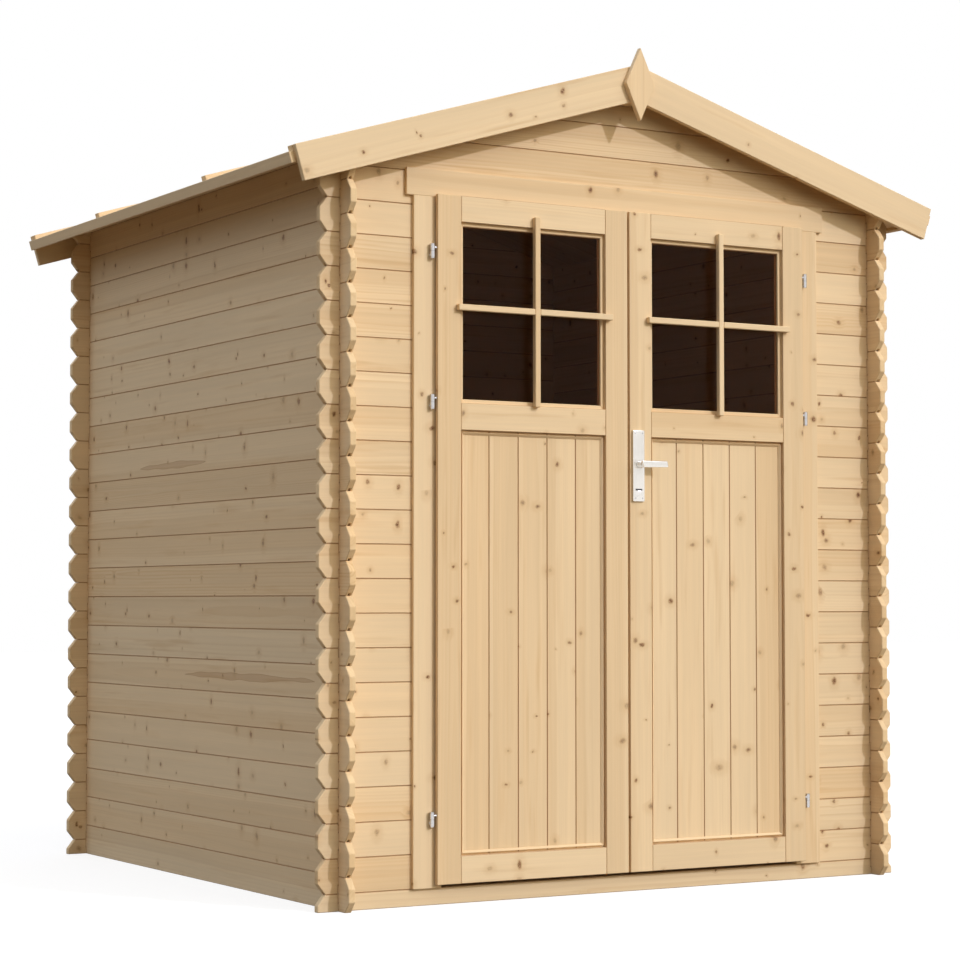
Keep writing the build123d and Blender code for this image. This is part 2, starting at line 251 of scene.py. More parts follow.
# growth rings about a heart behind the board, bent round the knots, each year of its own strength
def yearRings(tree, grain, heart, warmth, coarse, cloud, halo):
    along, across, into = split(tree, grain)
    wander = minus(tree, noise(tree, grain, spruce["wander"]), 0.5)
    ripple = minus(tree, noise(tree, grain, spruce["ripple"]), 0.5)
    side = minus(tree, across, times(tree, minus(tree, heart, 0.5), spruce["heartSpread"]))
    back = plus(tree, into, between(tree, warmth, *spruce["heartBehind"]))
    fromHeart = hypotenuse(tree, side, back)
    girth = fromHeart
    for amount, push in ((wander, "wanderPush"), (ripple, "ripplePush"), (along, "taper"), (halo, "haloPush")):
        girth = plus(tree, girth, times(tree, amount, spruce[push]))
    ringWidth = times(tree, between(tree, coarse, *spruce["ringShares"]), spruce["ringWidth"])
    years = maths(tree, "DIVIDE", girth, ringWidth)
    luck = tree.nodes.new("ShaderNodeTexWhiteNoise")
    luck.noise_dimensions = "1D"
    wire(tree, maths(tree, "FLOOR", years), luck.inputs["W"])
    year = maths(tree, "FRACT", years)
    late = times(tree, remap(tree, year, 0.25, 0.88), remap(tree, year, 1.0, 0.9))
    late = times(tree, late, between(tree, luck.outputs["Value"], 0.1, 1.0))
    late = times(tree, late, remap(tree, cloud, 0.3, 0.68, 0.3, 1.0))
    return late, fromHeart, wander


# a brown pith streak on the few boards that carry one: place along, place across, half length
def pithStreak(tree, grain):
    along, across = split(tree, grain)[:2]
    pithAlong, pithAcross, pithHalf = split(tree, attribute(tree, "pith", "Vector"))
    least = spruce["pithLeast"]
    here = maths(tree, "DIVIDE", minus(tree, along, pithAlong), maths(tree, "MAXIMUM", pithHalf, least))
    lens = maths(tree, "SQRT", maths(tree, "MAXIMUM", minus(tree, 1.0, times(tree, here, here)), 0.0))
    swell = remap(tree, noise(tree, grain, (6.0, 0.0, 0.0), 1.0), 0.35, 0.65, *spruce["pithSwell"])
    sway = times(tree, minus(tree, noise(tree, grain, (4.0, 2.0, 0.0), 1.0), 0.5), spruce["pithSway"])
    off = maths(tree, "ABSOLUTE", plus(tree, minus(tree, across, pithAcross), sway))
    marked = maths(tree, "GREATER_THAN", pithHalf, least)
    depthIn = times(tree, minus(tree, times(tree, lens, swell), off), marked)
    return times(tree, remap(tree, depthIn, 0.0, 0.0008), remap(tree, depthIn, 0.0010, 0.0024, 0.9, 0.48))


def spruceGroup():
    tree = bpy.data.node_groups.new("spruceGrain", "ShaderNodeTree")
    addSockets(
        tree, "INPUT", ("Early Wood", "Color"), ("Late Wood", "Color"), ("Knot", "Color"),
        ("Knot Share", "Float"), ("Contrast", "Float"),
    )
    addSockets(tree, "OUTPUT", ("Color", "Color"), ("Roughness", "Float"), ("Height", "Float"))
    given = tree.nodes.new("NodeGroupInput").outputs
    result = tree.nodes.new("NodeGroupOutput").inputs

    grain = attribute(tree, "grain", "Vector")
    shade, warmth, heart = split(tree, attribute(tree, "tone", "Vector"))
    knotty, coarse, figure = split(tree, attribute(tree, "habit", "Vector"))
    fibre = noise(tree, grain, spruce["fibre"], 3.0)
    cloud = noise(tree, grain, spruce["cloud"], 3.0)
    core, eye, halo, knotDepth = knotMarks(tree, grain, given["Knot Share"], knotty)
    late, fromHeart, wander = yearRings(tree, grain, heart, warmth, coarse, cloud, halo)

    # late wood, the darker heart, smears along the grain and the halos of the knots
    strength = times(tree, times(tree, late, given["Contrast"]), between(tree, figure, *spruce["figure"]))
    color = mixColor(tree, strength, given["Early Wood"], given["Late Wood"])
    heartEdge = plus(tree, times(tree, figure, 0.06), 0.02)
    inner = plus(tree, minus(tree, fromHeart, heartEdge), times(tree, wander, 0.03))
    inner = remap(tree, inner, 0.002, -0.002, 0.0, spruce["heartTint"])
    smear = remap(tree, noise(tree, grain, spruce["smear"]), 0.56, 0.78, 0.0, 0.45)
    smear = times(tree, smear, remap(tree, coarse, 0.0, 1.0, 0.3, 1.0))
    for darker in (inner, smear, times(tree, halo, spruce["haloDepth"])):
        color = mixColor(tree, darker, color, given["Late Wood"])

    light = between(tree, shade, *spruce["shade"])
    streak = noise(tree, grain, spruce["streak"])
    for pattern, low, high in ((fibre, 0.98, 1.02), (cloud, 0.95, 1.045), (streak, 0.97, 1.03)):
        light = times(tree, light, remap(tree, pattern, 0.25, 0.75, low, high, False))
    tint = tree.nodes.new("ShaderNodeHueSaturation")
    wire(tree, between(tree, warmth, *spruce["hue"]), tint.inputs["Hue"])
    wire(tree, between(tree, warmth, *spruce["saturation"]), tint.inputs["Saturation"])
    wire(tree, light, tint.inputs["Value"])
    wire(tree, color, tint.inputs["Color"])
    endFace = attribute(tree, "endFace", "Fac")
    color = mixColor(tree, endFace, tint.outputs["Color"], spruce["endTint"], "MULTIPLY")

    knotTone = mixColor(tree, times(tree, eye, spruce["eyeDepth"]), given["Knot"], spruce["knotEye"])
    color = mixColor(tree, times(tree, core, knotDepth), color, knotTone)
    pith = times(tree, pithStreak(tree, grain), spruce["pithDepth"])
    color = mixColor(tree, pith, color, given["Knot"])
    # painted shade in the joints between boards: both bevel faces of each joint are darkened, the sunlit one too
    seamShade = times(tree, attribute(tree, "seamShade", "Fac"), spruce["seamShadeDepth"])
    wire(tree, mixColor(tree, seamShade, color, spruce["seamShadeTint"]), result["Color"])

    rough = remap(tree, fibre, 0.2, 0.8, 0.56, 0.72, False)
    wire(tree, minus(tree, rough, times(tree, core, 0.12)), result["Roughness"])
    height = plus(tree, times(tree, fibre, 0.6), times(tree, late, 0.35))
    wire(tree, plus(tree, height, times(tree, core, 0.3)), result["Height"])
    return tree


spruceGrain = spruceGroup()


def spruceMaterial(name, look):
    material, tree, shader = newMaterial(name)
    grain = placeGroup(tree, spruceGrain, {
        "Early Wood": look["early"], "Late Wood": look["late"], "Knot": look["knot"],
        "Knot Share": look["knotShare"], "Contrast": look["contrast"],
    })
    bump = tree.nodes.new("ShaderNodeBump")
    bump.inputs["Strength"].default_value = look["relief"]
    bump.inputs["Distance"].default_value = look["reliefHeight"]
    wire(tree, grain["Height"], bump.inputs["Height"])
    wire(tree, bump.outputs["Normal"], shader.inputs["Normal"])
    wire(tree, grain["Color"], shader.inputs["Base Color"])
    wire(tree, grain["Roughness"], shader.inputs["Roughness"])
    shader.inputs["Specular IOR Level"].default_value = look["specular"]
    return material


logLook = {
    "early": (0.83, 0.63, 0.39, 1.0),
    "late": (0.62, 0.395, 0.185, 1.0),
    "knot": (0.36, 0.165, 0.058, 1.0),
    "knotShare": 0.62,
    "contrast": 0.34,
    "relief": 0.35,
    "reliefHeight": 0.0004,
    "specular": 0.25,
}
logSpruce = spruceMaterial("logSpruce", logLook)
trimSpruce = spruceMaterial("trimSpruce", {**logLook, "knotShare": 0.40, "contrast": 0.13})
doorSpruce = spruceMaterial("doorSpruce", {**logLook, "knotShare": 0.46, "contrast": 0.15})
roofSpruce = spruceMaterial("roofSpruce", {**logLook, "knotShare": 0.5, "contrast": 0.34})
stripSpruce = spruceMaterial("stripSpruce", {**logLook, "knotShare": 0.0, "contrast": 0.2})
floorSpruce = spruceMaterial("floorSpruce", {**logLook, "knotShare": 0.5, "contrast": 0.36})
print("spruce mixed")


# mesh helpers
shapeRules = {
    "weld": 0.00001,
    "flat": 0.5,              # degrees between faces that count as one
    "seamStraight": 0.98,     # how nearly a joint follows the board
    "seamLength": 4.0,        # shortest joint, in bevel widths
}


def cadShape(node):
    bm = bmesh.new()
    bm.from_mesh(frame["nodes"][node].data)
    bmesh.ops.remove_doubles(bm, verts=bm.verts, dist=shapeRules["weld"])
    flat = math.radians(shapeRules["flat"])
    bmesh.ops.dissolve_limit(bm, angle_limit=flat, verts=bm.verts, edges=bm.edges)
    bmesh.ops.recalc_face_normals(bm, faces=bm.faces)
    return bm


def boxShape(low, high):
    bm = bmesh.new()
    addBox(bm, low, high)
    return bm


def addBox(bm, low, high):
    corners = bmesh.ops.create_cube(bm, size=1.0)["verts"]
    for corner in corners:
        for axis in range(3):
            corner.co[axis] = low[axis] + (corner.co[axis] + 0.5) * (high[axis] - low[axis])


def addPrism(bm, outline, direction):
    face = bm.faces.new([bm.verts.new(point) for point in outline])
    grown = bmesh.ops.extrude_face_region(bm, geom=[face])
    moved = [item for item in grown["geom"] if isinstance(item, bmesh.types.BMVert)]
    bmesh.ops.translate(bm, verts=moved, vec=direction)
    bmesh.ops.recalc_face_normals(bm, faces=bm.faces)


def addLathe(bm, origin, axis, profile, segments):
    side = axis.orthogonal().normalized()
    other = axis.cross(side)
    turns = [2 * math.pi * index / segments for index in range(segments)]
    rings = []
    for radius, reach in profile:
        middle = origin + axis * reach
        if radius == 0.0:
            points = [middle]
        else:
            points = [middle + (side * math.cos(turn) + other * math.sin(turn)) * radius for turn in turns]
        rings.append([bm.verts.new(point) for point in points])
    for first, second in zip(rings, rings[1:]):
        for index in range(segments):
            after = (index + 1) % segments
            around = ((first, index), (first, after), (second, after), (second, index))
            corners = [ring[place % len(ring)] for ring, place in around]
            bm.faces.new(list(dict.fromkeys(corners)))    # a ring of one point gives triangles
    bmesh.ops.recalc_face_normals(bm, faces=bm.faces)


def addCopy(bm, other):
    mesh = bpy.data.meshes.new("copied")
    other.to_mesh(mesh)
    other.free()
    bm.from_mesh(mesh)
    bpy.data.meshes.remove(mesh)


# a small bevel on the outward edges; along a board's joints its faces are marked for painted shade
def roundEdges(bm, width, segments=1, sharpest=25.0, seamAlong=None, spare=None):
    seamShade = bm.faces.layers.float.new("seamShade")
    edges = [edge for edge in bm.edges if edge.is_manifold and edge.calc_face_angle_signed() > math.radians(sharpest)]
    if spare is not None:
        edges = [edge for edge in edges if not spare(edge)]
    made = bmesh.ops.bevel(
        bm, geom=edges, offset=width, offset_type="OFFSET", segments=segments, profile=0.5,
        affect="EDGES", clamp_overlap=False,
    )
    if seamAlong is not None:
        for face in made["faces"]:
            longest = max(face.edges, key=lambda edge: edge.calc_length())
            run = (longest.verts[1].co - longest.verts[0].co).normalized()
            straight = abs(run.dot(seamAlong)) > shapeRules["seamStraight"]
            if straight and longest.calc_length() > width * shapeRules["seamLength"]:
                face[seamShade] = 1.0


def boards(bm):
    found = []
    seen = set()
    for first in bm.faces:
        if first in seen:
            continue
        seen.add(first)
        stack = [first]
        board = []
        while stack:
            face = stack.pop()
            board.append(face)
            for edge in face.edges:
                for other in edge.link_faces:
                    if other not in seen:
                        seen.add(other)
                        stack.append(other)
        found.append(board)
    return found


def boardBox(board):
    points = [corner.co for face in board for corner in face.verts]
    low = Vector([min(point[axis] for point in points) for axis in range(3)])
    high = Vector([max(point[axis] for point in points) for axis in range(3)])
    return low, high


def nodeBoxes(node):
    bm = cadShape(node)
    found = [boardBox(board) for board in boards(bm)]
    bm.free()
    return sorted(found, key=lambda box: [round(value, 4) for value in reversed(box[0])])


# every board gets its own stretch of the grain, its own tone, and marks its sawn ends
def layGrain(bm, along, across, piths=()):
    into = along.cross(across)
    grain = bm.verts.layers.float_vector.new("grain")
    tone = bm.verts.layers.float_vector.new("tone")
    habit = bm.verts.layers.float_vector.new("habit")
    pith = bm.verts.layers.float_vector.new("pith")
    endFace = bm.faces.layers.float.new("endFace")
    bm.normal_update()
    middles = []
    for board in boards(bm):
        low, high = boardBox(board)
        middles.append(((low + high) / 2, board))
    middles.sort(key=lambda item: [round(value, 3) for value in (item[0].z, item[0].x, item[0].y)])
    for index, (middle, board) in enumerate(middles):
        shift = chance.uniform(0.0, 40.0)
        drawn = Vector((chance.random(), chance.random(), chance.random()))
        ways = Vector((chance.random(), chance.random(), chance.random()))
        mark = Vector((0.0, 0.0, 0.0))
        for number, place, lift, half in piths:
            if number == index:
                mark = Vector((place + shift, lift, half))
        for face in board:
            face[endFace] = abs(face.normal.dot(along)) ** 2
            for corner in face.verts:
                offset = corner.co - middle
                corner[grain] = Vector((corner.co.dot(along) + shift, offset.dot(across), offset.dot(into)))
                corner[tone] = drawn
                corner[habit] = ways
                corner[pith] = mark


def piece(name, bm, material, body, nodes=(), smooth=None):
    mesh = bpy.data.meshes.new(name)
    bm.to_mesh(mesh)
    bm.free()
    if smooth is not None:
        mesh.shade_smooth()
        mesh.set_sharp_from_angle(angle=math.radians(smooth))
    mesh.materials.append(material)
    made = bpy.data.objects.new(name, mesh)
    scene.collection.objects.link(made)
    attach(made, body)
    if nodes:
        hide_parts(*nodes)
    return made


def bodyOf(node):
    return frame["nodes"][node]["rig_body"]


def dress(name, node, material, along, across, edge, piths=(), jointed=False):
    bm = cadShape(node)
    roundEdges(bm, edge, seamAlong=along if jointed else None)
    layGrain(bm, along, across, piths)
    return piece(name, bm, material, bodyOf(node), [node])


# log walls
wallLogs = {
    "edge": 0.0016,
    # log from the ground up, place along it, place up from its middle, half length of the streak
    "leftPiths": ((13, 0.20, -0.020, 0.24), (6, -0.32, -0.002, 0.42)),
}
for name, node, along in (
    ("leftWallLogs", "left_wall", axisY), ("rightWallLogs", "right_wall", axisY),
    ("backWallLogs", "back_wall", axisX), ("backGableLogs", "back_gable", axisX),
    ("frontLeftLogs", "front_wall_left", axisX), ("frontRightLogs", "front_wall_right", axisX),
    ("frontSillLog", "front_sill", axisX), ("frontGableLogs", "front_gable", axisX),
):
    piths = wallLogs["leftPiths"] if node == "left_wall" else ()
    dress(name, node, logSpruce, along, axisZ, wallLogs["edge"], piths, True)
print("walls dressed")


# roof: boards from eave to ridge, battens, strips, barge boards
roofParts = {"boardWidth": 0.093, "edge": 0.0012, "trimEdge": 0.0013}


def slopeOf(node):
    top = max(frame["nodes"][node].data.polygons, key=lambda face: face.normal.z)
    normal = top.normal.copy()
    return Vector((normal.z, 0.0, -normal.x)), normal


def roofBoards(name, node):
    low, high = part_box(node)
    count = round((high.y - low.y) / roofParts["boardWidth"])
    step = (high.y - low.y) / count
    bm = bmesh.new()
    for index in range(count):
        slab = cadShape(node)
        for corner in slab.verts:
            share = (corner.co.y - low.y) / (high.y - low.y)
            corner.co.y = low.y + step * (index + share)
        addCopy(bm, slab)
    along = slopeOf(node)[0]
    roundEdges(bm, roofParts["edge"], seamAlong=along)
    layGrain(bm, along, axisY)
    return piece(name, bm, roofSpruce, bodyOf(node), [node])


for side in ("left", "right"):
    roofBoards(side + "RoofBoards", side + "_roof")
    along, normal = slopeOf(side + "_roof")
    dress(side + "RoofBattens", side + "_roof_battens", roofSpruce, along, axisY, roofParts["trimEdge"])
    dress(side + "EaveStrip", side + "_eave_strip", stripSpruce, axisY, normal, roofParts["trimEdge"])
    for end in ("front", "back"):
        node = f"{end}_{side}_barge"
        dress(f"{end}{side.title()}Barge", node, trimSpruce, along, normal, roofParts["trimEdge"])
dress("ridgeBeam", "ridge_beam", roofSpruce, axisY, axisZ, roofParts["trimEdge"])
dress("gableDiamond", "finial", stripSpruce, axisZ, axisX, roofParts["trimEdge"])
print("roof dressed")


# doorway lining and casings
doorway = {"edge": 0.0008}
for name, node, along, across in (
    ("leftJamb", "left_jamb", axisZ, axisY), ("rightJamb", "right_jamb", axisZ, axisY),
    ("doorHead", "door_head", axisX, axisY), ("leftCasing", "left_casing", axisZ, axisX),
    ("rightCasing", "right_casing", axisZ, axisX), ("headCasing", "head_casing", axisX, axisZ),
):
    dress(name, node, trimSpruce, along, across, doorway["edge"])


# floor boards on their bearers
floorParts = {"boardWidth": 0.09, "edge": 0.001}


def floorBoards():
    low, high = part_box("floor")
    count = round((high.y - low.y) / floorParts["boardWidth"])
    step = (high.y - low.y) / count
    bm = bmesh.new()
    for index in range(count):
        addBox(bm, (low.x, low.y + index * step, low.z), (high.x, low.y + (index + 1) * step, high.z))
    roundEdges(bm, floorParts["edge"], seamAlong=axisX)
    layGrain(bm, axisX, axisY)
    return piece("floorBoards", bm, floorSpruce, bodyOf("floor"), ["floor"])


floorBoards()
dress("floorBearers", "floor_bearers", floorSpruce, axisY, axisX, floorParts["edge"])
print("doorway and floor dressed")


# glass: a clear pane with a faint film; its brown tint is painted shade that darkens and warms the view into the shed
paneLook = {"color": (0.58, 0.43, 0.345, 1.0), "ior": 1.13, "film": 0.035, "filmNoise": (5.0, 5.0, 3.0)}


def paneMaterial():
    material, tree, shader = newMaterial("paneGlass")
    where = tree.nodes.new("ShaderNodeTexCoord").outputs["Object"]
    film = remap(tree, noise(tree, where, paneLook["filmNoise"], 3.0), 0.35, 0.8, 0.0, paneLook["film"])
    wire(tree, film, shader.inputs["Roughness"])
    shader.inputs["Base Color"].default_value = paneLook["color"]
    shader.inputs["Transmission Weight"].default_value = 1.0
    shader.inputs["IOR"].default_value = paneLook["ior"]
    return material


paneGlass = paneMaterial()

# door leaves
leafParts = {
    "edge": 0.0013,
    "boardCount": 5,
    "boardEdge": 0.002,
    "paneEdge": 0.0006,
    "barWidth": 0.0165,
    "barThick": 0.0155,
    "barEdge": 0.0016,
    "barSideLap": 0.016,      # onto the stiles
    "barTopLap": 0.028,       # onto the top rail
    "barFootLap": 0.004,      # onto the lock rail
    "barGap": 0.0002,
    "barShift": 0.0015,       # towards the right stile
    "beadEdge": 0.0008,
    "beadSharpest": 40.0,     # degrees past which an edge is rounded
    # set behind the leaf face, off the frame, width, flat share of it, slope share of the depth
    "paneBead": (0.010, 0.0, 0.0105, 0.85, 0.15),
    "panelBead": (0.0055, 0.0058, 0.0065, 0.1, 0.9),
}


def leafOpening(side):
    stiles = sorted(nodeBoxes(side + "_door_stiles"), key=lambda box: box[0].x)
    bottomRail, lockRail, topRail = nodeBoxes(side + "_door_rails")
    return {
        "left": stiles[0][1].x, "right": stiles[1][0].x,
        "windowLow": lockRail[1].z, "windowHigh": topRail[0].z,
        "panelLow": bottomRail[1].z, "panelHigh": lockRail[0].z,
        "front": topRail[0].y, "back": topRail[1].y,
    }


def panelBoards(side, body):
    node = side + "_door_panel"
    low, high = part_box(node)
    step = (high.x - low.x) / leafParts["boardCount"]
    bm = bmesh.new()
    for index in range(leafParts["boardCount"]):
        addBox(bm, (low.x + index * step, low.y, low.z), (low.x + (index + 1) * step, high.y, high.z))
    roundEdges(bm, leafParts["boardEdge"], seamAlong=axisZ)
    layGrain(bm, axisZ, axisX)
    piece(side + "PanelBoards", bm, doorSpruce, body, [node])


# one upright and a crosspiece in two halves, lapped onto the face of the leaf
def windowBars(side, body, hole):
    half = leafParts["barWidth"] / 2
    front = hole["front"] - leafParts["barGap"] - leafParts["barThick"]
    rear = hole["front"] - leafParts["barGap"]
    low = hole["windowLow"] - leafParts["barFootLap"]
    high = hole["windowHigh"] + leafParts["barTopLap"]
    middleX = (hole["left"] + hole["right"]) / 2 + leafParts["barShift"]
    middleZ = (low + high) / 2
    upright = boxShape((middleX - half, front, low), (middleX + half, rear, high))
    roundEdges(upright, leafParts["barEdge"])
    layGrain(upright, axisZ, axisX)
    piece(side + "WindowUpright", upright, stripSpruce, body)
    crossbar = bmesh.new()
    reach = leafParts["barSideLap"]
    step = leafParts["barGap"]
    for start, end in ((hole["left"] - reach, middleX - half - step), (middleX + half + step, hole["right"] + reach)):
        addBox(crossbar, (start, front, middleZ - half), (end, rear, middleZ + half))
    roundEdges(crossbar, leafParts["barEdge"])
    layGrain(crossbar, axisX, axisZ)
    piece(side + "WindowCrossbar", crossbar, stripSpruce, body)


# mitred beads that hold a pane or a panel, a chamfer towards its middle
def beads(name, body, hole, low, high, form, face, seat):
    left, right = hole["left"], hole["right"]
    start, width, flat, slope = form
    end, bend = start + width, face + (seat - face) * slope
    section = ((start, face), (start + width * flat, face), (end, bend), (end, seat), (start, seat))
    sides = (
        (axisX, axisZ, [(left, low, 1, 1), (right, low, -1, 1)]),
        (axisX, axisZ, [(left, high, 1, -1), (right, high, -1, -1)]),
        (axisZ, axisX, [(left, low, 1, 1), (left, high, 1, -1)]),
        (axisZ, axisX, [(right, low, -1, 1), (right, high, -1, -1)]),
    )
    for number, (along, across, ends) in enumerate(sides):
        bm = bmesh.new()
        rings = []
        for x, z, inX, inZ in ends:
            rings.append([bm.verts.new((x + inX * out, y, z + inZ * out)) for out, y in section])
        count = len(section)
        for index in range(count):
            after = (index + 1) % count
            bm.faces.new((rings[0][index], rings[0][after], rings[1][after], rings[1][index]))
        bm.faces.new(rings[0])
        bm.faces.new(rings[1])
        bmesh.ops.recalc_face_normals(bm, faces=bm.faces)
        roundEdges(bm, leafParts["beadEdge"], sharpest=leafParts["beadSharpest"])
        layGrain(bm, along, across)
        piece(f"{name}{number + 1}", bm, stripSpruce, body)


for side in ("left", "right"):
    body = bodyOf(side + "_door_stiles")
    for part, along, across in (("Stiles", axisZ, axisX), ("Rails", axisX, axisZ)):
        name, node = f"{side}Door{part}", f"{side}_door_{part.lower()}"
        dress(name, node, doorSpruce, along, across, leafParts["edge"], jointed=True)
    hole = leafOpening(side)
    panelBoards(side, body)
    pane = cadShape(side + "_door_glass")
    roundEdges(pane, leafParts["paneEdge"])
    piece(side + "Pane", pane, paneGlass, body, [side + "_door_glass"])
    glassLow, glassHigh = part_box(side + "_door_glass")
    windowBars(side, body, hole)
    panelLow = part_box(side + "_door_panel")[0]
    window, panel = (hole["windowLow"], hole["windowHigh"]), (hole["panelLow"], hole["panelHigh"])
    behind, *form = leafParts["paneBead"]
    gap = leafParts["barGap"]
    beads(side + "BeadOuter", body, hole, *window, form, hole["front"] + behind, glassLow.y - gap)
    beads(side + "BeadInner", body, hole, *window, form, hole["back"] - behind, glassHigh.y + gap)
    behind, *form = leafParts["panelBead"]
    beads(side + "PanelBead", body, hole, *panel, form, hole["front"] + behind, panelLow.y - gap)
print("door leaves dressed")


# satin metal of the hinges and the handle, faintly brushed and fingered
satin = {
    "brushed": (900.0, 900.0, 40.0),
    "brushTint": (0.45, 0.44, 0.42, 1.0),
    "brushDepth": 0.10,
    "fingered": (45.0, 45.0, 45.0),
    "fingerRough": (-0.03, 0.04),
    "smooth": 40.0,           # degrees up to which faces shade as one
}


def satinGroup():
    tree = bpy.data.node_groups.new("satinWear", "ShaderNodeTree")
    for way in ("INPUT", "OUTPUT"):
        addSockets(tree, way, ("Color", "Color"), ("Roughness", "Float"))
    given = tree.nodes.new("NodeGroupInput").outputs
    result = tree.nodes.new("NodeGroupOutput").inputs
    where = tree.nodes.new("ShaderNodeTexCoord").outputs["Object"]
    brushed = remap(tree, noise(tree, where, satin["brushed"]), 0.3, 0.7, 0.0, satin["brushDepth"])
    fingered = remap(tree, noise(tree, where, satin["fingered"], 3.0), 0.35, 0.7, *satin["fingerRough"])
    wire(tree, mixColor(tree, brushed, given["Color"], satin["brushTint"]), result["Color"])
    rough = plus(tree, given["Roughness"], fingered)
    wire(tree, rough, result["Roughness"])
    return tree


satinWear = satinGroup()


def metalMaterial(name, look):
    material, tree, shader = newMaterial(name)
    wear = placeGroup(tree, satinWear, {"Color": look["color"], "Roughness": look["roughness"]})
    wire(tree, wear["Color"], shader.inputs["Base Color"])
    wire(tree, wear["Roughness"], shader.inputs["Roughness"])
    shader.inputs["Metallic"].default_value = look["metallic"]
    return material


hingeSteel = metalMaterial("hingeSteel", {"color": (0.60, 0.585, 0.575, 1.0), "roughness": 0.26, "metallic": 1.0})
handleSatin = metalMaterial("handleSatin", {"color": (0.80, 0.765, 0.71, 1.0), "roughness": 0.22, "metallic": 1.0})
# painted shade for the inside of the key slot
slotShade = metalMaterial("slotShade", {"color": (0.035, 0.035, 0.038, 1.0), "roughness": 0.55, "metallic": 0.0})


# barrel hinges: capped knuckles on the pin line, the stems into casing and leaf
hingeParts = {
    "radius": 0.0065,
    "stemRadius": 0.0034,
    "capHeight": 0.0026,
    "groove": 0.0006,
    "edge": 0.0007,
    "gap": 0.0002,            # between the two knuckles
    "segments": 28,
    "stemSegments": 20,
}


def addKnuckle(bm, middle, low, high, capLow):
    radius, edge = hingeParts["radius"], hingeParts["edge"]
    cap, groove = hingeParts["capHeight"], hingeParts["groove"]
    capRadius, grooveRadius, length = radius - edge * 0.3, radius - groove * 2, high - low
    profile = [
        (0.0, 0.0), (radius - edge * 2.2, 0.0), (radius - edge, edge * 0.4), (capRadius, edge), (capRadius, cap),
        (grooveRadius, cap + groove * 0.3), (grooveRadius, cap + groove * 1.3), (radius, cap + groove * 1.8),
        (radius, length - edge * 0.4), (radius - edge * 0.4, length), (0.0, length),
    ]
    axis = axisZ if capLow else -axisZ
    addLathe(bm, Vector((middle[0], middle[1], low if capLow else high)), axis, profile, hingeParts["segments"])


def addStem(bm, start, end):
    reach = (end - start).length
    radius, edge = hingeParts["stemRadius"], hingeParts["edge"]
    profile = [
        (0.0, 0.0), (radius, 0.0), (radius, reach - edge * 2),
        (radius + edge, reach - edge), (radius + edge, reach), (0.0, reach),
    ]
    addLathe(bm, start, (end - start).normalized(), profile, hingeParts["stemSegments"])


def jointPlace(name):
    return next(item["pos_m"] for item in frame["joints"] if item["name"] == name)


def hinges(side):
    middle = jointPlace(side + "_door_hinge")
    fixed, turning = bmesh.new(), bmesh.new()
    frameNode, leafNode = side + "_frame_hinges", side + "_door_hinges"
    for (low, high), (leafLow, leafHigh) in zip(nodeBoxes(frameNode), nodeBoxes(leafNode)):
        addKnuckle(fixed, middle, low.z, leafLow.z - hingeParts["gap"], True)
        level = (low.z + leafLow.z) / 2
        addStem(fixed, Vector((middle[0], middle[1], level)), Vector((middle[0], high.y, level)))
        addKnuckle(turning, middle, leafLow.z, leafHigh.z, False)
        level = (leafLow.z + leafHigh.z) / 2
        far = leafHigh.x if side == "left" else leafLow.x
        addStem(turning, Vector((middle[0], middle[1], level)), Vector((far, middle[1], level)))
    piece(side + "FrameHinges", fixed, hingeSteel, bodyOf(frameNode), [frameNode], satin["smooth"])
    piece(side + "LeafHinges", turning, hingeSteel, bodyOf(leafNode), [leafNode], satin["smooth"])


hinges("left")
hinges("right")


# lever handle: plates with screws and a key slot, necks and slanted grips on both faces of the leaf
handleParts = {
    "plateEdge": 0.0012,
    "boreRadius": 0.0105,     # its edges stay sharp round the neck
    "slotDepth": 0.003,
    "insertGap": 0.0004,
    "insertEdge": 0.0005,
    "screwRadius": 0.0024,
    # share of the radius, height off the plate
    "screwProfile": (
        (0.0, -0.0006), (1.0, -0.0006), (1.0, 0.0001), (0.85, 0.0005), (0.5, 0.0007), (0.42, 0.0001), (0.0, 0.0001),
    ),
    "screwSegments": 16,
    "screwSpread": 0.0115,    # either side of the plate's middle
    "screwInset": 0.0085,     # from the plate's ends
    "neckRadius": 0.0088,
    "neckWaist": 0.0076,
    "neckGap": 0.0002,
    "neckFoot": 0.3,          # share of the neck before its hollow
    "neckHollow": 0.6,
    "neckHead": 0.92,         # where the head starts
    "neckSteps": 8,
    "neckSegments": 32,
    "gripHeight": 0.019,
    "gripTip": 0.0175,
    "gripThick": 0.010,
    "gripSlant": 0.006,
    "gripCorner": 0.003,
    "gripEdge": 0.0026,
    "sharpest": 40.0,         # degrees past which an edge is rounded
    "spindleRadius": 0.004,
    "spindleSegments": 16,
}


# outline with its corners turned on small arcs
def roundedOutline(points, radius, steps):
    outline = []
    count = len(points)
    for index, corner in enumerate(points):
        corner = Vector(corner)
        before = (Vector(points[index - 1]) - corner).normalized()
        after = (Vector(points[(index + 1) % count]) - corner).normalized()
        half = before.angle(after) / 2
        centre = corner + (before + after).normalized() * (radius / math.sin(half))
        start = (corner + before * (radius / math.tan(half)) - centre).normalized()
        end = (corner + after * (radius / math.tan(half)) - centre).normalized()
        for step in range(steps + 1):
            outline.append(centre + start.slerp(end, step / steps) * radius)
    return outline


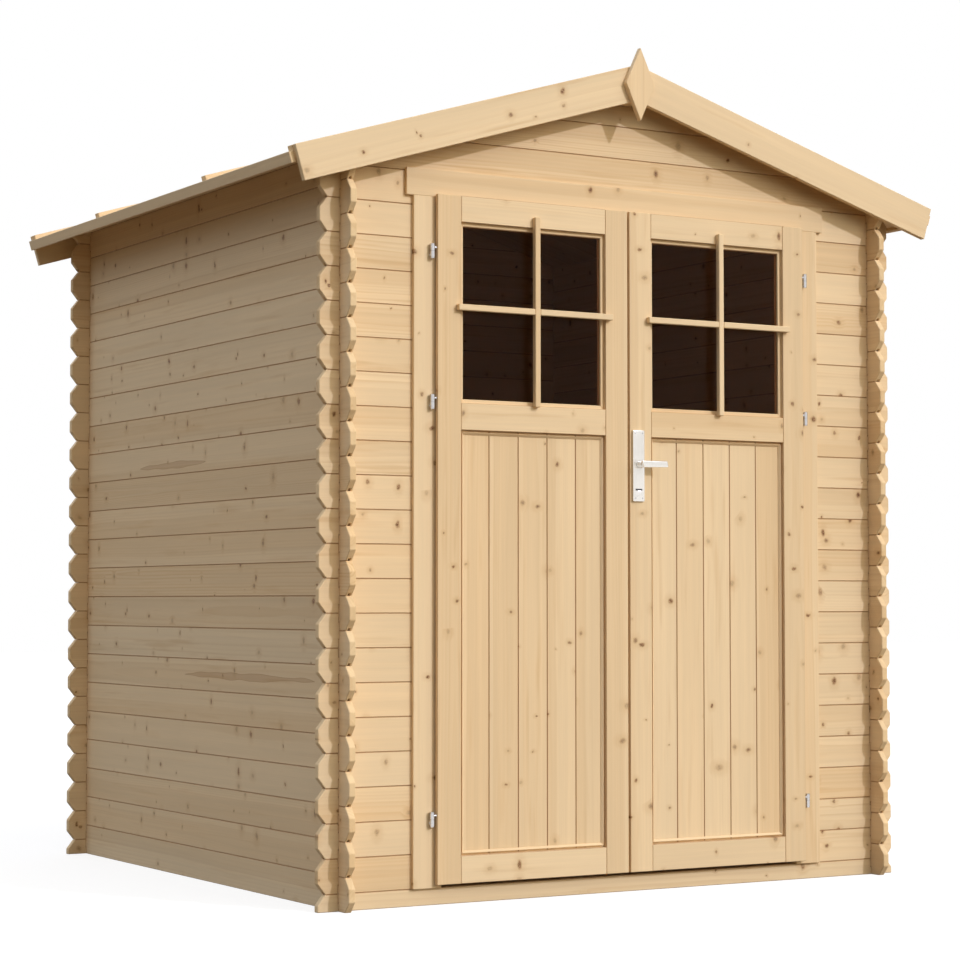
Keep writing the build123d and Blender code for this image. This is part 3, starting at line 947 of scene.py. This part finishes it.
def handlePlates():
    bm = cadShape("handle_plates")
    boxes = sorted((boardBox(board) for board in boards(bm)), key=lambda box: box[0].y)
    slotLevel = boxes[0][0].y + handleParts["slotDepth"]
    slotFloor = [corner.co.copy() for corner in bm.verts if abs(corner.co.y - slotLevel) < 0.0001]
    pivot = jointPlace("lever_turn")
    body = bodyOf("handle_plates")

    def byBore(edge):
        place = edge.verts[0].co
        return math.hypot(place.x - pivot[0], place.z - pivot[2]) < handleParts["boreRadius"]

    roundEdges(bm, handleParts["plateEdge"], 2, handleParts["sharpest"], spare=byBore)
    piece("handlePlates", bm, handleSatin, body, ["handle_plates"], satin["smooth"])

    # a near-black insert at the bottom of the key slot: painted shade for the depth of the slot
    gap = handleParts["insertGap"]
    low = (min(point.x for point in slotFloor) + gap, boxes[0][0].y + gap, min(point.z for point in slotFloor) + gap)
    high = (max(point.x for point in slotFloor) - gap, slotLevel - gap, max(point.z for point in slotFloor) - gap)
    slotShadeInsert = boxShape(low, high)
    roundEdges(slotShadeInsert, handleParts["insertEdge"], 2)
    piece("keySlotShade", slotShadeInsert, slotShade, body, (), satin["smooth"])

    screws = bmesh.new()
    radius = handleParts["screwRadius"]
    profile = [(radius * share, height) for share, height in handleParts["screwProfile"]]
    for (low, high), outward in zip(boxes, (-1, 1)):
        face = low.y if outward < 0 else high.y
        for turn in (-1, 1):
            for z in (low.z + handleParts["screwInset"], high.z - handleParts["screwInset"]):
                origin = Vector(((low.x + high.x) / 2 + turn * handleParts["screwSpread"], face, z))
                addLathe(screws, origin, axisY * outward, profile, handleParts["screwSegments"])
    piece("plateScrews", screws, hingeSteel, body, (), satin["smooth"])
    return boxes


def doorLever(plates):
    pivot = jointPlace("lever_turn")
    x, z = pivot[0], pivot[2]
    low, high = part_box("door_lever")
    half, thick, tip = handleParts["gripHeight"] / 2, handleParts["gripThick"], handleParts["gripTip"]
    radius, waist = handleParts["neckRadius"], handleParts["neckWaist"]
    foot, hollow, steps = handleParts["neckFoot"], handleParts["neckHollow"], handleParts["neckSteps"]
    bm = bmesh.new()
    for outward, plate, front in ((-1, plates[0], low.y), (1, plates[1], high.y)):
        seat = (plate[1].y if outward < 0 else plate[0].y) + outward * handleParts["neckGap"]
        reach = abs(front - outward * thick / 2 - seat)
        profile = [(0.0, 0.0), (radius, 0.0), (radius, reach * foot)]
        for step in range(1, steps):
            share = step / steps
            inset = (radius - waist) * math.sin(share * math.pi) ** 2
            profile.append((radius - inset, reach * (foot + hollow * share)))
        profile += [(radius, reach * handleParts["neckHead"]), (radius, reach), (0.0, reach)]
        addLathe(bm, Vector((x, seat, z)), axisY * outward, profile, handleParts["neckSegments"])
        corners = [
            (low.x + handleParts["gripSlant"], z - half), (x + radius, z - half), (high.x, z + half - tip),
            (high.x - tip / 4, z + half), (low.x, z + half),
        ]
        grip = bmesh.new()
        outline = roundedOutline(corners, handleParts["gripCorner"], 5)
        addPrism(grip, [(point.x, front, point.y) for point in outline], axisY * -outward * thick)
        roundEdges(grip, handleParts["gripEdge"], 3, handleParts["sharpest"])
        addCopy(bm, grip)
    thin, start = handleParts["spindleRadius"], plates[0][1].y
    length = plates[1][0].y - start
    spindle = [(0.0, 0.0), (thin, 0.0), (thin, length), (0.0, length)]
    addLathe(bm, Vector((x, start, z)), axisY, spindle, handleParts["spindleSegments"])
    piece("doorLever", bm, handleSatin, bodyOf("door_lever"), ["door_lever"], satin["smooth"])


doorLever(handlePlates())
print("hinges and handle made")


# floor, light and camera
stage = {
    "floorSize": 60.0,
    "floorColor": (0.11, 0.08, 0.045, 1.0),
    "floorShown": (0.34, 0.34, 0.34, 1.0),
    "floorLift": 0.77,
    "skyLow": (0.10, 0.07, 0.035, 1.0),
    "skyHigh": (0.34, 0.36, 0.42, 1.0),
    "skyReach": 0.6,          # of the way up
    "frontGlow": (2.32, 2.16, 1.68, 1.0),
    "frontGlowFrom": (0.45, -0.80, 0.40),
    "frontGlowFocus": 4.0,
    # colour, strength, spread, degrees right of straight ahead, degrees up
    "sun": ((0.81, 0.83, 1.0), 1.35, 1.5, 27.0, 28.0),
    "fill": ((0.81, 0.89, 1.0), 0.77, 50.0, -105.0, 35.0),
    "back": ((0.92, 0.95, 1.0), 0.75, 60.0, 165.0, 38.0),
    "cameraPlace": (-3.8693, -6.6391, 0.7969),
    "cameraPitch": 92.759,
    "cameraTurn": -30.595,
    "cameraLens": 94.04,
    "sensorWidth": 36.0,
}


# rays that reach the camera straight, or by way of metal and glass
def seenRays(tree):
    path = tree.nodes.new("ShaderNodeLightPath")
    seen = maths(tree, "ADD", path.outputs["Is Camera Ray"], path.outputs["Is Glossy Ray"], True)
    return maths(tree, "ADD", seen, path.outputs["Is Transmission Ray"], True)


def makeFloor():
    material, tree, shader = newMaterial("paleFloor")
    tree.nodes.remove(shader)
    seen = seenRays(tree)
    plain = tree.nodes.new("ShaderNodeBsdfDiffuse")
    plain.inputs["Color"].default_value = stage["floorColor"]
    shown = tree.nodes.new("ShaderNodeBsdfDiffuse")
    shown.inputs["Color"].default_value = stage["floorShown"]
    glow = tree.nodes.new("ShaderNodeEmission")
    glow.inputs["Strength"].default_value = stage["floorLift"]
    both = tree.nodes.new("ShaderNodeAddShader")
    wire(tree, shown.outputs[0], both.inputs[0])
    wire(tree, glow.outputs[0], both.inputs[1])
    choose = tree.nodes.new("ShaderNodeMixShader")
    wire(tree, seen, choose.inputs[0])
    wire(tree, plain.outputs[0], choose.inputs[1])
    wire(tree, both.outputs[0], choose.inputs[2])
    wire(tree, choose.outputs[0], tree.nodes["Material Output"].inputs["Surface"])
    half = stage["floorSize"] / 2
    mesh = bpy.data.meshes.new("floor")
    mesh.from_pydata([(-half, -half, 0), (half, -half, 0), (half, half, 0), (-half, half, 0)], [], [(0, 1, 2, 3)])
    mesh.materials.append(material)
    floor = bpy.data.objects.new("studioFloor", mesh)
    scene.collection.objects.link(floor)


def makeLight():
    world = bpy.data.worlds.new("studio")
    scene.world = world
    world.use_nodes = True
    tree = world.node_tree
    soft = tree.nodes["Background"]
    way = tree.nodes.new("ShaderNodeTexCoord").outputs["Generated"]
    height = remap(tree, split(tree, way)[2], 0.0, stage["skyReach"], 0.0, 1.0, False)
    sky = mixColor(tree, height, stage["skyLow"], stage["skyHigh"])
    facing = tree.nodes.new("ShaderNodeVectorMath")
    facing.operation = "DOT_PRODUCT"
    wire(tree, way, facing.inputs[0])
    facing.inputs[1].default_value = stage["frontGlowFrom"]
    lobe = maths(tree, "POWER", maths(tree, "MAXIMUM", facing.outputs["Value"], 0.0), stage["frontGlowFocus"])
    glow = mixColor(tree, lobe, (0.0, 0.0, 0.0, 1.0), stage["frontGlow"])
    wire(tree, mixColor(tree, 1.0, sky, glow, "ADD"), soft.inputs["Color"])
    white = tree.nodes.new("ShaderNodeBackground")
    white.inputs["Color"].default_value = (1.0, 1.0, 1.0, 1.0)
    seen = seenRays(tree)
    choose = tree.nodes.new("ShaderNodeMixShader")
    wire(tree, seen, choose.inputs[0])
    wire(tree, soft.outputs[0], choose.inputs[1])
    wire(tree, white.outputs[0], choose.inputs[2])
    wire(tree, choose.outputs[0], tree.nodes["World Output"].inputs["Surface"])
    for name in ("sun", "fill", "back"):
        color, strength, spread, turn, rise = stage[name]
        lamp = bpy.data.lights.new(name, "SUN")
        lamp.color = color
        lamp.energy = strength
        lamp.angle = math.radians(spread)
        place = bpy.data.objects.new(name, lamp)
        scene.collection.objects.link(place)
        turn, rise = math.radians(turn), math.radians(rise)
        towards = Vector((math.sin(turn) * math.cos(rise), -math.cos(turn) * math.cos(rise), math.sin(rise)))
        place.rotation_euler = towards.to_track_quat("Z", "Y").to_euler()


def makeCamera():
    lens = bpy.data.cameras.new("photoCamera")
    lens.sensor_width = stage["sensorWidth"]
    lens.lens = stage["cameraLens"]
    camera = bpy.data.objects.new("photoCamera", lens)
    scene.collection.objects.link(camera)
    camera.location = stage["cameraPlace"]
    camera.rotation_euler = (math.radians(stage["cameraPitch"]), 0.0, math.radians(stage["cameraTurn"]))
    scene.camera = camera


makeFloor()
makeLight()
makeCamera()
